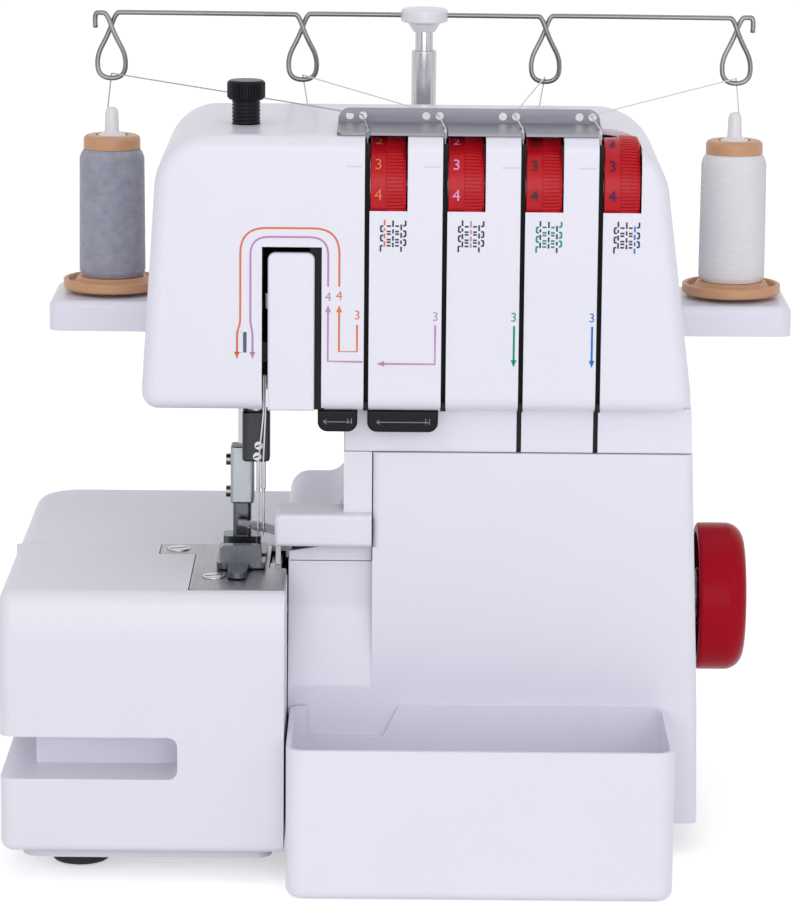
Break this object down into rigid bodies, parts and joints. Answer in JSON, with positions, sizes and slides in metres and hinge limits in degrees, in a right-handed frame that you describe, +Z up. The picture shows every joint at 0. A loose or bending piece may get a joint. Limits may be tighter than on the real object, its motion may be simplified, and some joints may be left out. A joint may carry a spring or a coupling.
{
  "type": "overlock sewing machine",
  "caption": "Domestic overlock sewing machine with red tension dials, waste tray, swing-open covers, spool stand and telescopic thread guide.",
  "frame": {"origin": "middle of the footprint, on the table under the rubber feet", "axes": "+X to the operator's right, +Y to the back of the machine, +Z up"},
  "size_m": [0.3304, 0.237, 0.3376],
  "materials": {
    "body_plastic": "satin",
    "bed_plastic": "satin",
    "trim_plastic": "satin",
    "dial_red": "gloss",
    "wheel_red": "gloss",
    "black_plastic": "gloss",
    "bright_steel": "polished",
    "steel": "brushed",
    "dark_steel": "brushed",
    "cast": "cast",
    "rubber": "matte",
    "spool_tan": "satin",
    "thread": "wound",
    "bronze": "turned"
  },
  "bodies": {
    "machine": {"rear_cover": "body_plastic", "head_front_cover": "body_plastic", "take_up_cover": "body_plastic", "front_panel": "body_plastic", "knife_cover": "body_plastic", "spool_stand": "body_plastic", "bed_rear_cover": "bed_plastic", "base_plate": "bed_plastic", "spool_pins": "trim_plastic", "lower_thread_guides": "black_plastic", "power_inlet": "black_plastic", "thread_guide_plate": "bright_steel", "antenna_lower_tube": "bright_steel", "needle_plate_screws": "bright_steel", "tension_discs": "bright_steel", "needle_plate": "steel", "lower_knife": "steel", "cover_hinge_rod": "steel", "cloth_plate_hinge_pin": "steel", "tension_bracket": "steel", "presser_spring": "steel", "motor": "dark_steel", "main_frame": "cast", "rubber_feet": "rubber", "drive_belt": "rubber", "spool_cores": "spool_tan", "thread_packs": "thread", "spool_threads": "thread", "needle_threads": "thread", "shaft_bushes": "bronze"},
    "wheel": {"handwheel": "wheel_red", "main_shaft": "steel", "drive_pulley": "black_plastic"},
    "motor_rotor": {"motor_pulley": "black_plastic"},
    "needle_carrier": {"needle_bar": "bright_steel", "needle_clamp": "dark_steel", "needles": "bright_steel", "needle_set_screws": "bright_steel"},
    "upper_looper_arm": {"upper_looper": "steel"},
    "lower_looper_arm": {"lower_looper": "steel"},
    "knife_arm": {"upper_knife": "steel"},
    "feed": {"feed_dogs": "steel"},
    "lifter": {"presser_lifter": "black_plastic"},
    "presser": {"presser_bar": "bright_steel", "presser_foot_holder": "bright_steel", "presser_foot": "dark_steel", "presser_screws": "bright_steel"},
    "seat": {"spring_seat": "steel"},
    "adjuster": {"pressure_screw": "black_plastic"},
    "dial_one": {"left_needle_dial": "dial_red"},
    "dial_two": {"right_needle_dial": "dial_red"},
    "dial_three": {"upper_looper_dial": "dial_red"},
    "dial_four": {"lower_looper_dial": "dial_red"},
    "front_door": {"looper_cover": "body_plastic"},
    "tray": {"waste_tray": "body_plastic"},
    "bed_door": {"cloth_plate": "bed_plastic"},
    "mast": {"antenna_upper_tube": "bright_steel", "antenna_cap": "trim_plastic", "thread_guide_rail": "bright_steel"},
    "rocker": {"power_switch": "black_plastic"}
  },
  "joints": [
    {"name": "handwheel_turn", "type": "hinge", "parent": "machine", "child": "wheel", "pos_m": [-0.00515, 0.0055, 0.0975], "axis": [1, 0, 0], "continuous": true},
    {"name": "motor_turn", "type": "hinge", "parent": "machine", "child": "motor_rotor", "pos_m": [-0.00515, 0.0735, 0.056], "axis": [1, 0, 0], "continuous": true},
    {"name": "needle_stroke", "type": "slide", "parent": "machine", "child": "needle_carrier", "axis": [0, 0, -1], "range_m": [0, 0.024], "deforming": ["needle_threads"]},
    {"name": "upper_looper_swing", "type": "hinge", "parent": "machine", "child": "upper_looper_arm", "pos_m": [-0.07115, -0.0325, 0.084], "axis": [0, 1, 0], "range_deg": [0, 46]},
    {"name": "lower_looper_swing", "type": "hinge", "parent": "machine", "child": "lower_looper_arm", "pos_m": [-0.07515, -0.0345, 0.046], "axis": [0, 1, 0], "range_deg": [-46, 0]},
    {"name": "knife_swing", "type": "hinge", "parent": "machine", "child": "knife_arm", "pos_m": [-0.01965, -0.0395, 0.135], "axis": [0, 1, 0], "range_deg": [-10, 0]},
    {"name": "feed_stroke", "type": "slide", "parent": "machine", "child": "feed", "axis": [0, -1, 0], "range_m": [0, 0.0032]},
    {"name": "lifter_turn", "type": "hinge", "parent": "machine", "child": "lifter", "pos_m": [-0.05115, 0.0555, 0.221], "axis": [0, 1, 0], "range_deg": [0, 65]},
    {"name": "presser_lift", "type": "slide", "parent": "machine", "child": "presser", "axis": [0, 0, 1], "range_m": [0, 0.0055], "deforming": ["presser_spring"]},
    {"name": "seat_travel", "type": "slide", "parent": "machine", "child": "seat", "axis": [0, 0, -1], "range_m": [-0.003, 0.003], "deforming": ["presser_spring"]},
    {"name": "pressure_turn", "type": "hinge", "parent": "seat", "child": "adjuster", "pos_m": [-0.06835, -0.0195, 0.31], "axis": [0, 0, -1], "range_deg": [-735, 735]},
    {"name": "dial_one_turn", "type": "hinge", "parent": "machine", "child": "dial_one", "pos_m": [-0.01025, -0.0395, 0.279], "axis": [1, 0, 0], "range_deg": [-108, 216]},
    {"name": "dial_two_turn", "type": "hinge", "parent": "machine", "child": "dial_two", "pos_m": [0.02112, -0.0395, 0.279], "axis": [1, 0, 0], "range_deg": [-108, 216]},
    {"name": "dial_three_turn", "type": "hinge", "parent": "machine", "child": "dial_three", "pos_m": [0.05249, -0.0395, 0.279], "axis": [1, 0, 0], "range_deg": [-108, 216]},
    {"name": "dial_four_turn", "type": "hinge", "parent": "machine", "child": "dial_four", "pos_m": [0.08386, -0.0395, 0.279], "axis": [1, 0, 0], "range_deg": [-108, 216]},
    {"name": "front_door_swing", "type": "hinge", "parent": "machine", "child": "front_door", "pos_m": [0.03485, -0.0415, 0.016], "axis": [1, 0, 0], "range_deg": [0, 85]},
    {"name": "tray_draw", "type": "slide", "parent": "machine", "child": "tray", "axis": [0, -1, 0], "range_m": [0, 0.19]},
    {"name": "bed_door_swing", "type": "hinge", "parent": "machine", "child": "bed_door", "pos_m": [-0.16215, -0.0075, 0.066], "axis": [0, 0, -1], "range_deg": [0, 90]},
    {"name": "mast_extend", "type": "slide", "parent": "machine", "child": "mast", "axis": [0, 0, 1], "range_m": [0, 0.09], "deforming": ["spool_threads"]},
    {"name": "switch_rock", "type": "hinge", "parent": "machine", "child": "rocker", "pos_m": [0.11585, 0.0785, 0.067], "axis": [0, 1, 0], "range_deg": [0, 12]}
  ],
  "couplings": [
    {"joint": "motor_turn", "follows": "handwheel_turn", "ratio": 2.5556},
    {"joint": "upper_looper_swing", "follows": "needle_stroke", "rad_per_m": 32.725},
    {"joint": "lower_looper_swing", "follows": "needle_stroke", "rad_per_m": -32.725},
    {"joint": "knife_swing", "follows": "needle_stroke", "rad_per_m": -7.054},
    {"joint": "feed_stroke", "follows": "needle_stroke", "ratio": 0.125},
    {"joint": "lifter_turn", "follows": "presser_lift", "rad_per_m": 200},
    {"joint": "pressure_turn", "follows": "seat_travel", "rad_per_m": 4188.8},
    {"joint": "tray_draw", "follows": "front_door_swing", "m_per_rad": 0.125}
  ]
}
